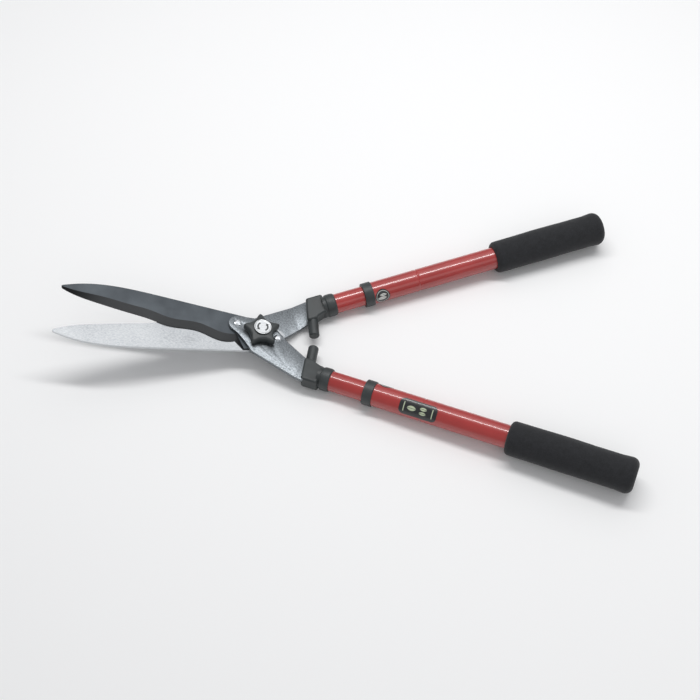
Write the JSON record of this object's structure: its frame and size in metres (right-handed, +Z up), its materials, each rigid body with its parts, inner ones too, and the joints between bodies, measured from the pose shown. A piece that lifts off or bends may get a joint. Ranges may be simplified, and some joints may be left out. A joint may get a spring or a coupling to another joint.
{
  "type": "hedge shears",
  "caption": "Hand hedge shears with wavy blades that cross at a pivot with a star tension knob, cranked arms, stop pegs and twist-lock telescopic tube handles with foam grips.",
  "frame": {"origin": "under the middle of the bounding box, on the surface that the shears lie on", "axes": "+X from the blades to the grips, +Y to the side of the bottom half's handle, +Z up; the blades rise towards -X and the pivot axis leans by 11.9 degrees"},
  "size_m": [0.6072, 0.3598, 0.068],
  "materials": {
    "dark_blade": "dark non-stick coating, satin",
    "bright_blade": "ground bright",
    "grey_enamel": "grey hammertone enamel",
    "plated_steel": "zinc plated",
    "black_plastic": "satin moulded",
    "red_enamel": "gloss enamel",
    "black_foam": "matt closed-cell foam",
    "nylon": "natural nylon",
    "brass": "turned",
    "silver_cap": "satin silver",
    "label_film": "printed film"
  },
  "bodies": {
    "bottom_half": {"blade_bottom": "bright_blade", "rivet_front_bottom": "plated_steel", "rivet_rear_bottom": "plated_steel", "arm_bottom": "grey_enamel", "cross_pin_bottom": "plated_steel", "stop_block_bottom": "black_plastic", "inner_tube_bottom": "red_enamel", "tang_core_bottom": "nylon", "lock_stud_bottom": "nylon", "pivot_bolt": "plated_steel", "wave_washer": "plated_steel"},
    "top_half": {"blade_top": "dark_blade", "rivet_front_top": "plated_steel", "rivet_rear_top": "plated_steel", "arm_top": "grey_enamel", "cross_pin_top": "plated_steel", "stop_block_top": "black_plastic", "inner_tube_top": "red_enamel", "tang_core_top": "nylon", "lock_stud_top": "nylon"},
    "knob": {"star_knob": "black_plastic", "knob_insert": "brass", "knob_cap": "silver_cap"},
    "collet_top": {"lock_collet_top": "nylon"},
    "collet_bottom": {"lock_collet_bottom": "nylon"},
    "sleeve_top": {"outer_tube_top": "red_enamel", "collar_top": "black_plastic", "guide_bush_top": "nylon", "end_plug_top": "black_plastic", "grip_top": "black_foam", "round_label_top": "label_film", "long_label": "label_film"},
    "sleeve_bottom": {"outer_tube_bottom": "red_enamel", "collar_bottom": "black_plastic", "guide_bush_bottom": "nylon", "end_plug_bottom": "black_plastic", "grip_bottom": "black_foam", "round_label_bottom": "label_film"}
  },
  "joints": [
    {"name": "pivot", "type": "hinge", "parent": "bottom_half", "child": "top_half", "pos_m": [-0.0891, 0.001, 0.01999], "axis": [-0.2061, 0, -0.9785], "range_deg": [-14.4, 45]},
    {"name": "knob_turn", "type": "hinge", "parent": "bottom_half", "child": "knob", "pos_m": [-0.0891, 0.001, 0.01999], "axis": [0.2061, 0, 0.9785], "range_deg": [-30, 330]},
    {"name": "twist_top", "type": "hinge", "parent": "top_half", "child": "collet_top", "pos_m": [0.22068, -0.13538, 0.01966], "axis": [0.9383, -0.3448, 0.0271], "range_deg": [0, 180]},
    {"name": "draw_top", "type": "slide", "parent": "collet_top", "child": "sleeve_top", "axis": [0.9383, -0.3448, 0.0271], "range_m": [-0.0382, 0.1325]},
    {"name": "twist_bottom", "type": "hinge", "parent": "bottom_half", "child": "collet_bottom", "pos_m": [0.22068, 0.13738, 0.01966], "axis": [0.9383, 0.3448, 0.0271], "range_deg": [0, 180]},
    {"name": "draw_bottom", "type": "slide", "parent": "collet_bottom", "child": "sleeve_bottom", "axis": [0.9383, 0.3448, 0.0271], "range_m": [-0.0324, 0.1383]}
  ]
}
